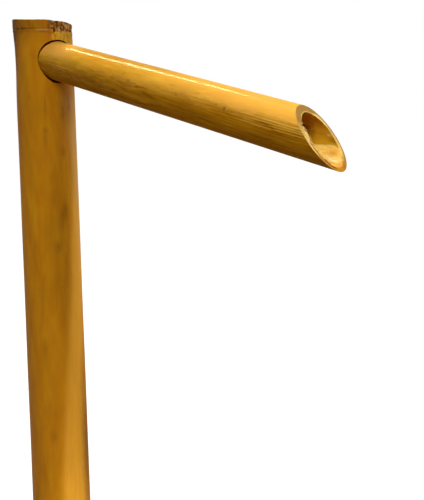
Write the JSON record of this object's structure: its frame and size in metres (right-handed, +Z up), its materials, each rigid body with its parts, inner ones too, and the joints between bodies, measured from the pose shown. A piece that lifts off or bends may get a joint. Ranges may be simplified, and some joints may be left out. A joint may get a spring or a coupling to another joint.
{
  "type": "bamboo water spout",
  "caption": "Upright bamboo post with a sloping bamboo arm let into its head; water rises by a hose inside and pours from the arm's slanted mouth.",
  "frame": {"origin": "on the post's axis at the cut underside of its foot", "axes": "+Z up the post, +X the way the arm reaches, +Y completes the right-handed frame"},
  "size_m": [0.4274, 0.064, 0.64],
  "materials": {
    "post_bamboo": "lacquered bamboo, satin",
    "arm_bamboo": "lacquered bamboo, glossy",
    "dark_rubber": "matte",
    "black_vinyl": "satin",
    "moulded_fitting": "moulded",
    "sprung_steel": "satin"
  },
  "bodies": {
    "post": {"post": "post_bamboo", "riser_hose": "black_vinyl", "outlet_hose": "black_vinyl", "elbow": "moulded_fitting", "inlet_tail": "moulded_fitting", "lower_clip": "sprung_steel", "upper_clip": "sprung_steel"},
    "sleeve": {"socket_sleeve": "dark_rubber"},
    "arm": {"spout_arm": "arm_bamboo"}
  },
  "joints": [
    {"name": "arm_draw", "type": "slide", "parent": "post", "child": "sleeve", "axis": [0.9854, 0, -0.1702], "range_m": [0, 0.04]},
    {"name": "arm_turn", "type": "hinge", "parent": "sleeve", "child": "arm", "pos_m": [0, 0, 0.6055], "axis": [0.9854, 0, -0.1702], "continuous": true}
  ]
}
